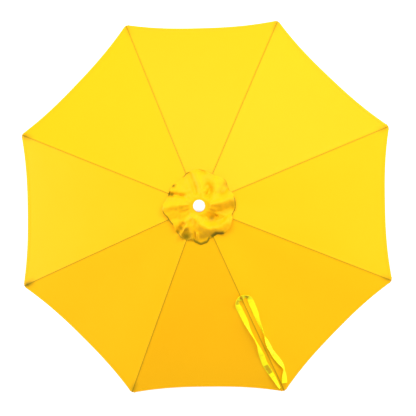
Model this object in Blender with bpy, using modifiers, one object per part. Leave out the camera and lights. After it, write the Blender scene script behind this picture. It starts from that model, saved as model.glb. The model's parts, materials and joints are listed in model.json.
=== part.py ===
"""Beach umbrella: telescoping pole with a tilt joint, folding frame of eight ribs, vented cloth canopy.

Metres, +Z up, pole axis on Z, spike end at z = 0.  The frame stands open, untilted and at full height.
"""

import math

import bmesh
import bpy
from mathutils import Matrix, Vector

# driving dimensions
RIBS = 8
FIRST_RIB_DEG = 22.5
CROWN_Z = 2.200
CROWN_PIVOT_R = 0.026
RUNNER_PIVOT_R = 0.038
RIB_SLOPE_IN_DEG = 15.5
RIB_SLOPE_OUT_DEG = 20.5
RIB_LENGTH = 1.0145
RIB_ROD_R = 0.0025
BRACKET_AT = 0.360
BRACKET_DROP = 0.009
STRETCHER_LENGTH = 0.385
STRETCHER_HALF = (0.0021, 0.0037)
HEM_OVERHANG = 0.010
HEM_INWARD = 0.024
CLOTH_LIFT = 0.0052
CLOTH_THICK = 0.0010
PANEL_SAG = 0.006
VENT_OPENING_R = 0.120
VENT_CAP_SEAM_R = 0.160
VENT_CAP_MID_R = 0.181
TUBE_R = 0.014
TUBE_WALL = 0.0012
LOWER_TUBE_R = 0.016
LOWER_TUBE_Z = (0.1003, 0.780)
INNER_TUBE_BOTTOM = 0.420
SPIKE_LENGTH = 0.100
SPIKE_FLAT_R = 0.005
SCREW_Z = 0.798
TILT_Z = 1.110
GAP = 0.0003
TINY = 1e-9

MATERIALS = {
    "white_paint": ((0.86, 0.86, 0.84, 1.0), 0.35, 0.0),
    "white_plastic": ((0.90, 0.90, 0.88, 1.0), 0.30, 0.0),
    "steel": ((0.62, 0.62, 0.60, 1.0), 0.30, 1.0),
    "yellow_canopy": ((0.95, 0.55, 0.02, 1.0), 0.80, 0.0),
    "lemon_webbing": ((0.90, 0.80, 0.02, 1.0), 0.60, 0.0),
}


# ---------------------------------------------------------------- helpers

def clear_scene():
    for obj in list(bpy.data.objects):
        bpy.data.objects.remove(obj, do_unlink=True)


def make_collection(name):
    made = bpy.data.collections.new(name)
    bpy.context.scene.collection.children.link(made)
    return made


def make_materials():
    made = {}
    for name, (color, roughness, metallic) in MATERIALS.items():
        material = bpy.data.materials.new(name)
        material.use_nodes = True
        shader = material.node_tree.nodes["Principled BSDF"]
        shader.inputs["Base Color"].default_value = color
        shader.inputs["Roughness"].default_value = roughness
        shader.inputs["Metallic"].default_value = metallic
        material.diffuse_color = color
        made[name] = material
    return made


def add_object(name, bm, material=None, smooth=True, fix_normals=True):
    if fix_normals:
        bmesh.ops.recalc_face_normals(bm, faces=bm.faces)
    mesh = bpy.data.meshes.new(name)
    bm.to_mesh(mesh)
    bm.free()
    for face in mesh.polygons:
        face.use_smooth = smooth
    obj = bpy.data.objects.new(name, mesh)
    if material:
        mesh.materials.append(MATS[material])
        PARTS.objects.link(obj)
    else:
        CUTTERS.objects.link(obj)
        obj.hide_render = True
        obj.display_type = "WIRE"
    return obj


def skin(bm, rings, wrap=False):
    """Joins equal rings of vertices; a ring of one vertex is a point on the axis."""
    pairs = list(zip(rings, rings[1:]))
    if wrap:
        pairs.append((rings[-1], rings[0]))
    for one, two in pairs:
        count = max(len(one), len(two))
        for i in range(count):
            j = (i + 1) % count
            corners = [one[i % len(one)], one[j % len(one)], two[j % len(two)], two[i % len(two)]]
            face = []
            for corner in corners:
                if corner not in face:
                    face.append(corner)
            bm.faces.new(face)


def lathe(name, profile, material=None, segments=24, tube=False, place=None):
    """Turns (radius, height) points about Z; a tube's profile is a closed loop."""
    bm = bmesh.new()
    rings = []
    for radius, height in profile:
        steps = 1 if radius < TINY else segments
        ring = []
        for i in range(steps):
            angle = 2 * math.pi * (i + 0.5) / segments
            ring.append(bm.verts.new((radius * math.cos(angle), radius * math.sin(angle), height)))
        rings.append(ring)
    skin(bm, rings, wrap=tube)
    if place:
        bmesh.ops.transform(bm, matrix=place, verts=bm.verts)
    return add_object(name, bm, material)


def loft(name, sections, material=None, smooth=True):
    """Closed solid through rings of points, with a cap on each end."""
    bm = bmesh.new()
    rings = [[bm.verts.new(point) for point in section] for section in sections]
    skin(bm, rings)
    bm.faces.new(rings[0])
    bm.faces.new(rings[-1])
    return add_object(name, bm, material, smooth)


def box(name, low, high, material=None):
    bm = bmesh.new()
    corners = []
    for x in (low[0], high[0]):
        for y in (low[1], high[1]):
            for z in (low[2], high[2]):
                corners.append(bm.verts.new((x, y, z)))
    for face in ((0, 1, 3, 2), (4, 6, 7, 5), (0, 4, 5, 1), (2, 3, 7, 6), (0, 2, 6, 4), (1, 5, 7, 3)):
        bm.faces.new([corners[i] for i in face])
    return add_object(name, bm, material, smooth=False)


def along(start, direction):
    """Matrix that carries the Z axis at the origin to a start point and direction."""
    turn = Vector((0, 0, 1)).rotation_difference(Vector(direction)).to_matrix().to_4x4()
    return Matrix.Translation(Vector(start)) @ turn


def rod(name, start, direction, radius, length, material=None, segments=16):
    """Plain cylinder from a start point along a direction."""
    frame = along(start, direction)
    sections = []
    for height in (0, length):
        angles = [2 * math.pi * (i + 0.5) / segments for i in range(segments)]
        sections.append([frame @ Vector((radius * math.cos(a), radius * math.sin(a), height)) for a in angles])
    return loft(name, sections, material)


def boolean(target, tool, operation):
    modifier = target.modifiers.new(operation.lower(), "BOOLEAN")
    modifier.operation = operation
    modifier.solver = "EXACT"
    modifier.object = tool


def bake(obj):
    """Turns an object's modifiers into its mesh, so that copies can share it."""
    bpy.context.view_layer.update()
    graph = bpy.context.evaluated_depsgraph_get()
    mesh = bpy.data.meshes.new_from_object(obj.evaluated_get(graph))
    bm = bmesh.new()
    bm.from_mesh(mesh)
    bmesh.ops.remove_doubles(bm, verts=bm.verts, dist=0.00002)
    bmesh.ops.dissolve_degenerate(bm, edges=bm.edges, dist=0.000001)
    bm.to_mesh(mesh)
    bm.free()
    obj.modifiers.clear()
    obj.data = mesh


def sharpen(obj, degrees=35):
    """Flat shading across edges sharper than the angle, smooth elsewhere."""
    bm = bmesh.new()
    bm.from_mesh(obj.data)
    for edge in bm.edges:
        edge.smooth = len(edge.link_faces) == 2 and edge.calc_face_angle() < math.radians(degrees)
    bm.to_mesh(obj.data)
    bm.free()


def round_the_crown(master, stem):
    """One copy of a master, built along +X, at each rib."""
    copies = []
    for i in range(RIBS):
        copy = master if i == 0 else master.copy()
        if i:
            PARTS.objects.link(copy)
        copy.name = f"{stem}_{i + 1}"
        copy.rotation_euler = (0, 0, math.radians(FIRST_RIB_DEG + 360 / RIBS * i))
        copies.append(copy)
    return copies


# ---------------------------------------------------------------- frame geometry

def slope(s):
    rate = math.radians(RIB_SLOPE_OUT_DEG - RIB_SLOPE_IN_DEG)
    return math.radians(RIB_SLOPE_IN_DEG) + rate * s


def rib_point(s, lift=0.0, side=0.0):
    """Point at arc length s along the first rib, which lies over +X and bows gently down."""
    rate = math.radians(RIB_SLOPE_OUT_DEG - RIB_SLOPE_IN_DEG)
    start = slope(0)
    x = CROWN_PIVOT_R + (math.sin(slope(s)) - math.sin(start)) / rate
    z = CROWN_Z + (math.cos(slope(s)) - math.cos(start)) / rate
    return Vector((x + lift * math.sin(slope(s)), side, z + lift * math.cos(slope(s))))


def rib_frame(s, lift=0.0):
    """Matrix with X along the rib and Z up from it."""
    angle = slope(s)
    along_rib = Vector((math.cos(angle), 0, -math.sin(angle)))
    up = Vector((math.sin(angle), 0, math.cos(angle)))
    turn = Matrix((along_rib, Vector((0, 1, 0)), up)).transposed().to_4x4()
    return Matrix.Translation(rib_point(s, lift)) @ turn


def rib_s_at(radius):
    low, high = 0.0, 1.2
    while high - low > 1e-7:
        middle = (low + high) / 2
        if rib_point(middle).x < radius:
            low = middle
        else:
            high = middle
    return low


def stretcher_ends():
    """Outer pivot under the rib, and inner pivot at the runner."""
    outer = rib_point(BRACKET_AT, -BRACKET_DROP)
    run = outer.x - RUNNER_PIVOT_R
    drop = math.sqrt(STRETCHER_LENGTH ** 2 - run ** 2)
    return outer, Vector((RUNNER_PIVOT_R, 0, outer.z - drop))


def cloth_point(s, across, lift):
    """Point of the canopy's surface beside the first rib.

    across is 0 on the rib and +-1 on the middle line of the panel on either side.
    """
    ridge = rib_point(s, lift)
    half = math.pi / RIBS
    middle_r = ridge.x * math.cos(half)
    middle = Vector((middle_r * math.cos(half), math.copysign(middle_r * math.sin(half), across), ridge.z))
    share = abs(across)
    point = ridge.lerp(middle, share)
    spread = min(1.0, s / RIB_LENGTH)
    point.z -= PANEL_SAG * spread * math.sin(math.pi / 2 * share) ** 2
    return point


def oval(frame, half_width, half_height, points=8):
    ring = []
    for i in range(points):
        angle = 2 * math.pi * (i + 0.5) / points
        ring.append(frame @ Vector((0, half_width * math.cos(angle), half_height * math.sin(angle))))
    return ring


# ---------------------------------------------------------------- pole

def build_ground_spike():
    plug = LOWER_TUBE_R - TUBE_WALL - GAP
    profile = [
        (0, SPIKE_LENGTH + 0.040), (plug - 0.002, SPIKE_LENGTH + 0.040), (plug, SPIKE_LENGTH + 0.036),
        (plug, SPIKE_LENGTH), (LOWER_TUBE_R, SPIKE_LENGTH), (LOWER_TUBE_R, SPIKE_LENGTH - 0.006),
        (SPIKE_FLAT_R + 0.001, 0.002), (SPIKE_FLAT_R, 0), (0, 0),
    ]
    sharpen(lathe("ground_spike", profile, "white_plastic"))


def build_tube(name, radius, low, high):
    inner = radius - TUBE_WALL
    profile = [(radius, high), (radius, low), (inner, low), (inner, high)]
    sharpen(lathe(name, profile, "white_paint", tube=True))


def build_clamp_collar():
    """Collar on the lower tube's mouth, with a threaded boss for the clamp screw."""
    top = LOWER_TUBE_Z[1] + 0.035
    step = LOWER_TUBE_Z[1] + GAP
    profile = [
        (0.0205, top), (0.0220, top - 0.0015), (0.0220, step - 0.036), (0.0205, step - 0.0385),
        (LOWER_TUBE_R + GAP, step - 0.0385), (LOWER_TUBE_R + GAP, step),
        (TUBE_R + GAP, step), (TUBE_R + GAP, top),
    ]
    collar = lathe("clamp_collar", profile, "white_plastic", tube=True)
    boss = rod("boss", (-0.0185, 0, SCREW_Z), (-1, 0, 0), 0.0080, 0.0135)
    hole = rod("screw_hole", (-0.010, 0, SCREW_Z), (-1, 0, 0), 0.0033, 0.030)
    boolean(collar, boss, "UNION")
    boolean(collar, hole, "DIFFERENCE")
    bake(collar)
    sharpen(collar)


def build_clamp_screw():
    """Screw with a lobed hand knob; its tip bears on the inner tube."""
    frame = along((-TUBE_R - GAP, 0, SCREW_Z), (-1, 0, 0))
    count = 20
    sections = []
    outline = (
        (0.0, 0.0024, 0), (0.0006, 0.0030, 0), (0.0182, 0.0030, 0), (0.0184, 0.0080, 0),
        (0.0200, 0.0100, 0), (0.0205, 0.0135, 1), (0.0220, 0.0150, 1), (0.0300, 0.0150, 1),
        (0.0320, 0.0132, 1), (0.0325, 0.0060, 0),
    )
    for height, radius, lobed in outline:
        ring = []
        for i in range(count):
            angle = 2 * math.pi * i / count
            reach = radius * (1 - 0.14 * lobed * (1 + math.cos(5 * angle)) / 2)
            ring.append(frame @ Vector((reach * math.cos(angle), reach * math.sin(angle), height)))
        sections.append(ring)
    sharpen(loft("clamp_screw", sections, "white_plastic"))


def build_tilt_fork():
    """Lower half of the tilt joint: two ears on a shoulder, plugged into the inner tube."""
    plug = TUBE_R - TUBE_WALL - GAP
    profile = [
        (0, TILT_Z + 0.010), (0.0165, TILT_Z + 0.010), (0.0165, TILT_Z - 0.044),
        (0.0155, TILT_Z - 0.045), (plug, TILT_Z - 0.045), (plug, TILT_Z - 0.085), (0, TILT_Z - 0.085),
    ]
    fork = lathe("tilt_fork", profile, "white_plastic")
    slot = box("fork_slot", (-0.03, -0.006, TILT_Z - 0.020), (0.03, 0.006, TILT_Z + 0.02))
    pin_hole = rod("fork_pin_hole", (0, -0.03, TILT_Z), (0, 1, 0), 0.0033, 0.06)
    button_hole = rod("fork_button_hole", (-0.0065, 0, TILT_Z - 0.0325), (-1, 0, 0), 0.0053, 0.02)
    for tool in (slot, pin_hole, button_hole):
        boolean(fork, tool, "DIFFERENCE")
    bake(fork)
    sharpen(fork)


def build_tilt_tongue():
    """Upper half of the tilt joint: a flat tongue between the fork's ears."""
    plug = TUBE_R - TUBE_WALL - GAP
    profile = [
        (0, TILT_Z + 0.085), (plug, TILT_Z + 0.085), (plug, TILT_Z + 0.045), (0.0155, TILT_Z + 0.045),
        (0.0165, TILT_Z + 0.044), (0.0165, TILT_Z + 0.021), (0.0155, TILT_Z + 0.020), (0, TILT_Z + 0.020),
    ]
    tongue = lathe("tilt_tongue", profile, "white_plastic")
    blade = box("tongue_blade", (-0.0110, -0.0056, TILT_Z), (0.0110, 0.0056, TILT_Z + 0.022))
    nose = rod("tongue_nose", (0, -0.0056, TILT_Z), (0, 1, 0), 0.0110, 0.0112, segments=32)
    hole = rod("tongue_hole", (0, -0.03, TILT_Z), (0, 1, 0), 0.0033, 0.06)
    boolean(tongue, blade, "UNION")
    boolean(tongue, nose, "UNION")
    boolean(tongue, hole, "DIFFERENCE")
    bake(tongue)
    sharpen(tongue)


def build_tilt_pin():
    profile = [
        (0, 0), (0.0045, 0), (0.0055, 0.0008), (0.0055, 0.0020), (0.0030, 0.0020),
        (0.0030, 0.0356), (0.0055, 0.0356), (0.0055, 0.0368), (0.0045, 0.0376), (0, 0.0376),
    ]
    sharpen(lathe("tilt_pin", profile, "steel", 16, place=along((0, -0.0188, TILT_Z), (0, 1, 0))))


def build_button(name, tip, height):
    """Push button with a domed head, pointing along -X."""
    profile = [
        (0, 0), (0.0050, 0), (0.0050, 0.0070), (0.0044, 0.0086), (0.0026, 0.0096), (0, 0.0100),
    ]
    sharpen(lathe(name, profile, "steel", 16, place=along((-tip, 0, height), (-1, 0, 0))))


# ---------------------------------------------------------------- crown and runner

def slot_cutter(name, inner, outer, half_width, low, high):
    """Eight radial boxes in one mesh."""
    bm = bmesh.new()
    for i in range(RIBS):
        turn = Matrix.Rotation(math.radians(FIRST_RIB_DEG + 360 / RIBS * i), 4, "Z")
        made = bmesh.ops.create_cube(bm, size=1.0)
        size = Matrix.Diagonal((outer - inner, 2 * half_width, high - low, 1.0))
        move = Matrix.Translation(((outer + inner) / 2, 0, (high + low) / 2))
        bmesh.ops.transform(bm, matrix=turn @ move @ size, verts=made["verts"])
    return add_object(name, bm, smooth=False)


def build_crown_hub():
    """Notched hub on the pole's top; the rib eyes sit in its slots on a wire ring."""
    plug = TUBE_R - TUBE_WALL - GAP
    top = CROWN_Z + 0.006
    profile = [
        (0.0043, top), (0.0325, top), (0.0340, top - 0.0015), (0.0340, CROWN_Z - 0.0125),
        (0.0325, CROWN_Z - 0.0140), (plug, CROWN_Z - 0.0140), (plug, CROWN_Z - 0.045), (0, CROWN_Z - 0.045),
        (0, CROWN_Z - 0.0145), (0.0043, CROWN_Z - 0.0145),
    ]
    bm = bmesh.new()
    rings = []
    for radius, height in profile:
        steps = 1 if radius < TINY else 32
        rings.append([
            bm.verts.new((
                radius * math.cos(2 * math.pi * i / 32),
                radius * math.sin(2 * math.pi * i / 32),
                height,
            ))
            for i in range(steps)
        ])
    skin(bm, rings[:8])
    skin(bm, [rings[8], rings[9], rings[0]])
    hub = add_object("crown_hub", bm, "white_plastic")
    groove = [
        (CROWN_PIVOT_R - 0.0014, top + 0.002), (CROWN_PIVOT_R + 0.0014, top + 0.002),
        (CROWN_PIVOT_R + 0.0014, CROWN_Z - 0.0014), (CROWN_PIVOT_R - 0.0014, CROWN_Z - 0.0014),
    ]
    ring_groove = lathe("ring_groove", groove, segments=48, tube=True)
    slots = slot_cutter("crown_slots", 0.0210, 0.040, 0.0022, CROWN_Z - 0.0155, top + 0.002)
    boolean(hub, ring_groove, "DIFFERENCE")
    boolean(hub, slots, "DIFFERENCE")
    bake(hub)
    sharpen(hub)


def build_crown_ring():
    """Wire ring that the eight rib eyes turn on."""
    bm = bmesh.new()
    rings = []
    for i in range(48):
        around = 2 * math.pi * i / 48
        ring = []
        for j in range(5):
            angle = 2 * math.pi * j / 5
            reach = CROWN_PIVOT_R + 0.001 * math.cos(angle)
            height = CROWN_Z + 0.001 * math.sin(angle)
            ring.append(bm.verts.new((reach * math.cos(around), reach * math.sin(around), height)))
        rings.append(ring)
    skin(bm, rings, wrap=True)
    add_object("crown_ring", bm, "steel")


def build_crown_washer():
    low = CROWN_Z + 0.006 + GAP
    high = low + 0.0025
    profile = [
        (0.0375, high), (0.0380, high - 0.0005), (0.0380, low), (0.0044, low), (0.0044, high),
    ]
    sharpen(lathe("crown_washer", profile, "white_plastic", tube=True))


def build_finial():
    """Low domed cap screwed through the vent cap and the washer into the hub."""
    base = CROWN_Z + 0.006 + GAP + 0.0025 + GAP + CLOTH_THICK + GAP
    profile = [
        (0, base + 0.0146), (0.0065, base + 0.0142), (0.0138, base + 0.0128), (0.0208, base + 0.0102),
        (0.0262, base + 0.0066), (0.0286, base + 0.0036), (0.0290, base + 0.0018), (0.0282, base),
        (0.0040, base), (0.0040, CROWN_Z - 0.0115), (0.0030, CROWN_Z - 0.0125), (0, CROWN_Z - 0.0125),
    ]
    sharpen(lathe("finial", profile, "white_plastic", 32), 50)


def build_runner():
    """Sleeve that slides on the upper tube, with a slotted flange for the stretchers."""
    level = stretcher_ends()[1].z
    bore = TUBE_R + GAP
    profile = [
        (0.0450, level + 0.0070), (0.0460, level + 0.0060), (0.0460, level - 0.0060), (0.0450, level - 0.0070),
        (0.0220, level - 0.0070), (0.0200, level - 0.0100), (0.0190, level - 0.0590), (0.0180, level - 0.0600),
        (bore, level - 0.0600), (bore, level + 0.0120), (0.0200, level + 0.0120), (0.0220, level + 0.0070),
    ]
    runner = lathe("runner", profile, "white_plastic", 32, tube=True)
    boss = rod("button_boss", (-0.0165, 0, level - 0.034), (-1, 0, 0), 0.0085, 0.0115)
    hole = rod("button_hole", (-0.0175, 0, level - 0.034), (-1, 0, 0), 0.0053, 0.02)
    slots = slot_cutter("runner_slots", 0.0330, 0.052, 0.0025, level - 0.0080, level + 0.0080)
    boolean(runner, boss, "UNION")
    boolean(runner, hole, "DIFFERENCE")
    boolean(runner, slots, "DIFFERENCE")
    bake(runner)
    sharpen(runner)


# ---------------------------------------------------------------- ribs and stretchers

def build_ribs():
    """Bowed round rod with a flattened eye at the crown."""
    flat = (
        (-0.0036, 0.0009), (-0.0029, 0.0022), (-0.0016, 0.0033), (0.0006, 0.0037),
        (0.0060, 0.0031), (0.0180, 0.0029),
    )
    sections = [oval(rib_frame(s), 0.0017, height) for s, height in flat]
    length = RIB_LENGTH
    for s in (0.0240, 0.220, 0.420, 0.620, 0.820, length):
        sections.append(oval(rib_frame(s), RIB_ROD_R, RIB_ROD_R))
    rib = loft("rib", sections, "white_paint")
    eye = rod("rib_eye", rib_point(0, side=-0.01), (0, 1, 0), 0.0014, 0.02, segments=12)
    boolean(rib, eye, "DIFFERENCE")
    bake(rib)
    sharpen(rib, 50)
    round_the_crown(rib, "rib")


def build_rib_tips():
    """Ball-ended plastic cap over the rib's outer end."""
    frame = rib_frame(RIB_LENGTH) @ Matrix.Rotation(math.pi / 2, 4, "Y")
    bore = RIB_ROD_R + GAP
    profile = [
        (0, 0.0065), (0.0026, 0.0056), (0.0040, 0.0034), (0.0043, 0.0010), (0.0043, -0.0180),
        (bore, -0.0180), (bore, GAP), (0, GAP),
    ]
    tip = lathe("rib_tip", profile, "white_plastic", 10, place=frame)
    sharpen(tip, 50)
    round_the_crown(tip, "rib_tip")


def build_rib_brackets():
    """Pressed saddle over the rib; a rivet through its two ears carries the stretcher."""
    inner = RIB_ROD_R + GAP
    outer = inner + 0.0012
    bottom = -BRACKET_DROP - 0.0045
    outline = [(-outer, bottom)]
    for i in range(6):
        angle = math.pi - math.pi * i / 5
        outline.append((outer * math.cos(angle), outer * math.sin(angle)))
    outline.append((outer, bottom))
    outline.append((inner, bottom))
    for i in range(6):
        angle = math.pi * i / 5
        outline.append((inner * math.cos(angle), inner * math.sin(angle)))
    outline.append((-inner, bottom))
    frame = rib_frame(BRACKET_AT)
    sections = []
    for x in (-0.0070, 0.0070):
        sections.append([frame @ Vector((x, y, z)) for y, z in outline])
    bracket = loft("rib_bracket", sections, "white_paint")
    start = frame @ Vector((0, -outer - 0.0010, -BRACKET_DROP))
    rivet = rod("rivet", start, (0, 1, 0), 0.0016, 2 * outer + 0.0020, segments=8)
    boolean(bracket, rivet, "UNION")
    bake(bracket)
    sharpen(bracket)
    round_the_crown(bracket, "rib_bracket")


def build_stretchers():
    """Flat steel strut from the rib bracket in to the runner, with an eye at each end."""
    outer, inner = stretcher_ends()
    run = (inner - outer).normalized()
    up = run.cross(Vector((0, 1, 0))).normalized()
    half_width, half_height = STRETCHER_HALF
    sections = []
    ends = ((-1.0, 0.28), (-0.75, 0.70), (0.0, 1.0))
    for reach, share in ends:
        sections.append((outer + run * reach * half_height, share))
    for reach, share in reversed(ends):
        sections.append((inner - run * reach * half_height, share))
    rings = []
    for centre, share in sections:
        height = half_height * share
        corners = ((-1, -0.55), (-0.7, -1), (0.7, -1), (1, -0.55), (1, 0.55), (0.7, 1), (-0.7, 1), (-1, 0.55))
        ring = []
        for across, tall in corners:
            ring.append(centre + Vector((0, across * half_width, 0)) + up * tall * height)
        rings.append(ring)
    strut = loft("stretcher", rings, "white_paint")
    outer_eye = rod("outer_eye", outer - Vector((0, 0.01, 0)), (0, 1, 0), 0.0019, 0.02, segments=12)
    inner_eye = rod("inner_eye", inner - Vector((0, 0.01, 0)), (0, 1, 0), 0.0014, 0.02, segments=12)
    boolean(strut, outer_eye, "DIFFERENCE")
    boolean(strut, inner_eye, "DIFFERENCE")
    bake(strut)
    sharpen(strut)
    round_the_crown(strut, "stretcher")


# ---------------------------------------------------------------- cloth

def thicken(obj, thickness=CLOTH_THICK):
    modifier = obj.modifiers.new("cloth", "SOLIDIFY")
    modifier.thickness = thickness
    modifier.offset = 1.0
    modifier.use_even_offset = True


def upward(bm):
    """Turns every face of an open sheet to look up."""
    bm.normal_update()
    bmesh.ops.reverse_faces(bm, faces=[face for face in bm.faces if face.normal.z < 0])


def build_canopy_gores():
    """Cloth over one rib, out to the middle of the panel on each side, above the hem."""
    columns = (-1.0, -0.67, -0.33, 0.0, 0.33, 0.67, 1.0)
    rows = 6
    first = rib_s_at(VENT_OPENING_R)
    last = RIB_LENGTH + HEM_OVERHANG
    bm = bmesh.new()
    grid = []
    for i in range(rows + 1):
        line = []
        for across in columns:
            hem = last - HEM_INWARD * (1 - (1 - abs(across)) ** 2)
            s = first + (hem - first) * i / rows
            point = cloth_point(s, across, CLOTH_LIFT)
            if abs(across) == 1.0:
                half = math.pi / RIBS
                edge = Vector((math.sin(half), -math.copysign(math.cos(half), across), 0))
                point += edge * GAP / 2
            line.append(bm.verts.new(point))
        grid.append(line)
    for one, two in zip(grid, grid[1:]):
        for j in range(len(columns) - 1):
            bm.faces.new((one[j], one[j + 1], two[j + 1], two[j]))
    upward(bm)
    gore = add_object("canopy_gore", bm, "yellow_canopy", fix_normals=False)
    thicken(gore)
    round_the_crown(gore, "canopy_gore")


def cap_point(radius, angle, share, level):
    """Point of the vent cap's underside; share runs 0 at the washer to 1 at the hem."""
    half = math.pi / RIBS
    offset = abs((angle - math.radians(FIRST_RIB_DEG) + half) % (2 * half) - half)
    ridge_radius = radius * math.cos(half - offset) / math.cos(half)
    s = rib_s_at(ridge_radius)
    z = rib_point(s).z + 0.0150 + (0.0096 - 0.0150) * share
    return Vector((radius * math.cos(angle), radius * math.sin(angle), min(z, level)))


def build_vent_cap():
    """Small scalloped cap of cloth under the finial, covering the vent opening."""
    level = CROWN_Z + 0.006 + GAP + 0.0025 + GAP
    steps = RIBS * 4
    bm = bmesh.new()
    rings = []
    for share in (-1.0, 0.0, 0.33, 0.67, 1.0):
        ring = []
        for i in range(steps):
            angle = 2 * math.pi * i / steps
            bulge = (1 - math.cos(RIBS * (angle - math.radians(FIRST_RIB_DEG)))) / 2
            hem = VENT_CAP_SEAM_R + (VENT_CAP_MID_R - VENT_CAP_SEAM_R) * math.sqrt(bulge)
            if share < 0:
                point = Vector((0.0048 * math.cos(angle), 0.0048 * math.sin(angle), level))
            else:
                radius = 0.041 + (hem - 0.041) * share
                point = cap_point(radius, angle, share, level)
            ring.append(bm.verts.new(point))
        rings.append(ring)
    skin(bm, rings)
    upward(bm)
    cap = add_object("vent_cap", bm, "yellow_canopy", fix_normals=False)
    thicken(cap)


def build_tie_strap():
    """Folded webbing strap sewn on the rib seam half way out, its two tails lying to the tip."""
    lift = CLOTH_LIFT + CLOTH_THICK + 0.0006
    stations = (
        (0.484, -0.024, 0.024), (0.510, -0.038, 0.042), (0.600, -0.038, 0.045), (0.700, -0.038, 0.040),
        (0.800, -0.039, 0.038), (0.860, -0.042, 0.050), (0.900, -0.036, 0.058), (0.950, -0.027, 0.044),
        (0.985, -0.024, 0.028),
    )
    width = 0.022
    half = math.sin(math.pi / RIBS) * math.cos(math.pi / RIBS)
    bm = bmesh.new()
    left, right, ridge = [], [], []
    for s, low, high in stations:
        reach = rib_point(s).x * half
        for line, sides in ((left, (low, low + width)), (right, (high - width, high))):
            line.append([bm.verts.new(cloth_point(s, side / reach, lift)) for side in sides])
        ridge.append(cloth_point(s, 0.0, lift))
    for line in (left, right):
        for one, two in zip(line, line[1:]):
            bm.faces.new((one[0], one[1], two[1], two[0]))
    top = [bm.verts.new(point) for point in ridge[:2]]
    bm.faces.new((left[0][1], top[0], top[1], left[1][1]))
    bm.faces.new((top[0], right[0][0], right[1][0], top[1]))
    upward(bm)
    strap = add_object("tie_strap", bm, "lemon_webbing", fix_normals=False)
    thicken(strap)
    strap.rotation_euler = (0, 0, math.radians(FIRST_RIB_DEG + 360 / RIBS * 6))


def main():
    build_ground_spike()
    build_tube("lower_pole_tube", LOWER_TUBE_R, *LOWER_TUBE_Z)
    build_tube("inner_pole_tube", TUBE_R, INNER_TUBE_BOTTOM, TILT_Z - 0.045 - GAP)
    build_tube("upper_pole_tube", TUBE_R, TILT_Z + 0.045 + GAP, CROWN_Z - 0.014 - GAP)
    build_clamp_collar()
    build_clamp_screw()
    build_tilt_fork()
    build_tilt_tongue()
    build_tilt_pin()
    build_button("tilt_button", 0.0110, TILT_Z - 0.0325)
    build_crown_hub()
    build_crown_ring()
    build_crown_washer()
    build_finial()
    build_runner()
    build_button("runner_button", 0.0215, stretcher_ends()[1].z - 0.034)
    build_ribs()
    build_rib_tips()
    build_rib_brackets()
    build_stretchers()
    build_canopy_gores()
    build_vent_cap()
    build_tie_strap()


clear_scene()
PARTS = make_collection("beach_umbrella")
CUTTERS = make_collection("cutters")
MATS = make_materials()
main()
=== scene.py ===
import json
import math

import bmesh
import bpy
from mathutils import Matrix, Vector, noise


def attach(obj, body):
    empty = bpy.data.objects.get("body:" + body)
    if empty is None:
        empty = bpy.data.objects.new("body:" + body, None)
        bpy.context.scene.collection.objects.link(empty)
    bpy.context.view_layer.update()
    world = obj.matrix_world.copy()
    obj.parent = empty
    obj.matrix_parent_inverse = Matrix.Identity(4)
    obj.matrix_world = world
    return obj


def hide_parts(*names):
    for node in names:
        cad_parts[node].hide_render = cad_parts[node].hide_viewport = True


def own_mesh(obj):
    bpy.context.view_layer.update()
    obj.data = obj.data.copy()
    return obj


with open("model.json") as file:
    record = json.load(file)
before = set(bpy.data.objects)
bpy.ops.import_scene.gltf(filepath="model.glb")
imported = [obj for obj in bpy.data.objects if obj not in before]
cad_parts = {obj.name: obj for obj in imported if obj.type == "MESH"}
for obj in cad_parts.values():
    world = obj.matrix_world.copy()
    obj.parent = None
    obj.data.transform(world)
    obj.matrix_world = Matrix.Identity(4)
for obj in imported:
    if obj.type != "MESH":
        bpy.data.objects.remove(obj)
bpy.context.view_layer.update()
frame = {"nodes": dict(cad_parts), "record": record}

SCENE = bpy.context.scene

# ---------------------------------------------------------------- sizes in metres

# the CAD's ribs, crown and panels
RIBS = 8
HALF = math.pi / RIBS
FIRST_RIB = math.radians(22.5)
CROWN_Z = 2.200
CROWN_PIVOT_R = 0.026
RIB_SLOPE_IN = math.radians(15.5)
RIB_SLOPE_RATE = math.radians(5.0)
RIB_LENGTH = 1.0145
HEM_OVERHANG = 0.010
PANEL_SAG = 0.006
VENT_OPENING_R = 0.120

# the visual cloth: height above the ribs' middle lines, thickness, top of the washer under the cap, and
# the rib that carries the tie strap
CLOTH_LIFT = 0.0060
CLOTH_THICK = 0.0006
CAP_LEVEL = CROWN_Z + 0.0094
STRAP_RIB = 7

# threads and seams of the cloth
WEAVE_PITCH = 0.0014
STITCH_PITCH = 0.0045
SEAM_STITCH_AT = 0.0042
HEM_STITCH_AT = 0.0150
SEAM_AWAY = 0.030
HEM_AWAY = 0.050
WEBBING_RIB_PITCH = 0.0024
WEBBING_PICK_PITCH = 0.0016


def slope(s):
    """Angle of a rib below the horizontal at arc length s from its pivot."""
    return RIB_SLOPE_IN + RIB_SLOPE_RATE * s


def rib_point(s, lift=0.0):
    """Radius and height of a rib at arc length s, raised square to it."""
    x = CROWN_PIVOT_R + (math.sin(slope(s)) - math.sin(RIB_SLOPE_IN)) / RIB_SLOPE_RATE
    z = CROWN_Z + (math.cos(slope(s)) - math.cos(RIB_SLOPE_IN)) / RIB_SLOPE_RATE
    return x + lift * math.sin(slope(s)), z + lift * math.cos(slope(s))


def rib_s_at(radius):
    """Arc length at which a rib reaches a radius."""
    turned = (radius - CROWN_PIVOT_R) * RIB_SLOPE_RATE + math.sin(RIB_SLOPE_IN)
    return (math.asin(turned) - RIB_SLOPE_IN) / RIB_SLOPE_RATE


def rib_angle(k):
    """Direction of rib k, counted from 1."""
    return FIRST_RIB + 2 * HALF * (k - 1)


def smooth(t):
    """Smooth step from 0 to 1."""
    t = max(0.0, min(1.0, t))
    return t * t * (3 - 2 * t)


def bump(x, width):
    """Bell curve of height 1."""
    return math.exp(-(x / width) ** 2)


# ---------------------------------------------------------------- materials

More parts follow.
